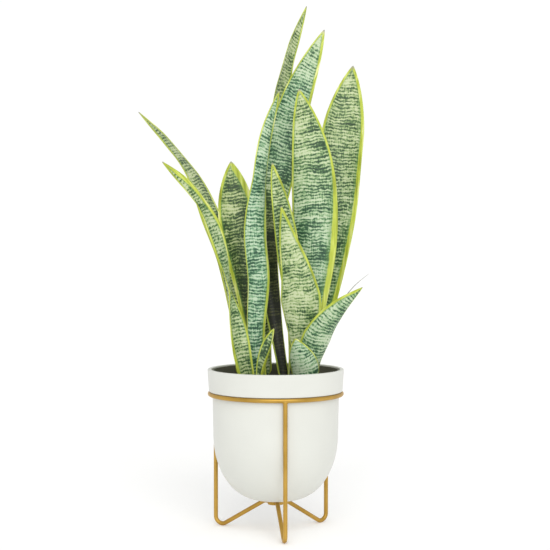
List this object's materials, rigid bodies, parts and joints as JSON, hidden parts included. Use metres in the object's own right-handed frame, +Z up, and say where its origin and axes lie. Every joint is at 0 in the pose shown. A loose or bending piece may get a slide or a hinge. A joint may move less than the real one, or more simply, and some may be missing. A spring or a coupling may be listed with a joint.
{
  "type": "planter pot in wire stand",
  "caption": "White collared plant pot hanging in a ring of brass wire on bent legs, filled with a liner of upright variegated faux snake plant leaves.",
  "frame": {"origin": "on the floor at the middle of the stand's three feet", "axes": "+Z up, -Y to the front, +X to the right seen from the front"},
  "size_m": [0.2539, 0.153, 0.5982],
  "materials": {
    "brass_wire": "satin brass-coloured coating on steel wire",
    "white_glaze": "smooth satin warm white",
    "liner_plastic": "matt dark grey-brown moulded plastic",
    "ballast_cement": "cast cement, rough",
    "floral_foam": "rigid green foam",
    "loose_soil": "crumbly dark brown soil glued in a layer",
    "leaf_plastic": "waxy printed leaf, green bands and yellow-green edge"
  },
  "bodies": {
    "stand": {"support_ring": "brass_wire", "leg_front": "brass_wire", "leg_rear_right": "brass_wire", "leg_rear_left": "brass_wire", "centre_hub": "brass_wire"},
    "pot": {"pot_shell": "white_glaze"},
    "insert": {"liner_pot": "liner_plastic", "ballast_plug": "ballast_cement", "foam_block": "floral_foam", "soil_cover": "loose_soil", "leaf_front_stub": "leaf_plastic", "leaf_front_curl": "leaf_plastic", "leaf_right_low": "leaf_plastic", "leaf_mid_front": "leaf_plastic", "leaf_left_twist": "leaf_plastic", "leaf_left_arch": "leaf_plastic", "leaf_left_upright": "leaf_plastic", "leaf_centre_left": "leaf_plastic", "leaf_inner_slim": "leaf_plastic", "leaf_centre_broad": "leaf_plastic", "leaf_centre_tall": "leaf_plastic", "leaf_rear_tall": "leaf_plastic", "leaf_right_tall": "leaf_plastic"}
  },
  "joints": [
    {"name": "pot_lift", "type": "slide", "parent": "stand", "child": "pot", "axis": [0, 0, 1], "range_m": [0, 0.13]},
    {"name": "insert_lift", "type": "slide", "parent": "pot", "child": "insert", "axis": [0, 0, 1], "range_m": [0, 0.12]}
  ]
}
